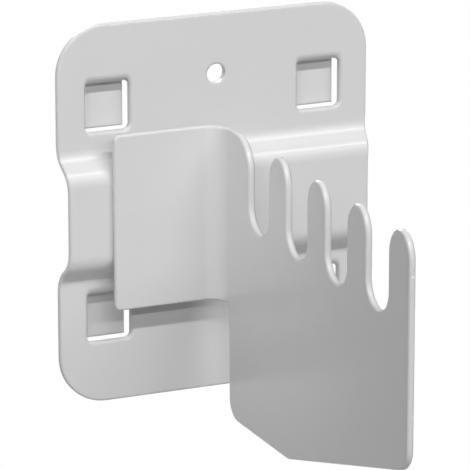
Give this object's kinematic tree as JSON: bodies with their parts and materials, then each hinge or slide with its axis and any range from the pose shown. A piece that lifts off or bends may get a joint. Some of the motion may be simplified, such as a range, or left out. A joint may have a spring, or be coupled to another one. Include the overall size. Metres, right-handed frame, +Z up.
{
  "type": "saw holder",
  "caption": "Welded sheet-steel saw holder for a square-hole tool panel: a hooked back plate and a side flange with open-topped slots that saws rest in.",
  "frame": {"origin": "centre of the back plate and of its hook pattern, on the plane of the plate's back face, which lies on the tool panel", "axes": "+X to the right along the panel as the user sees it, +Y into the panel, +Z up; the saw flange reaches towards -Y"},
  "size_m": [0.0558, 0.0794, 0.0675],
  "materials": {
    "powder_coat": "smooth semi-gloss light grey powder coat on sheet steel"
  },
  "bodies": {
    "root": {"back_plate": "powder_coat", "saw_bracket": "powder_coat"}
  },
  "joints": []
}
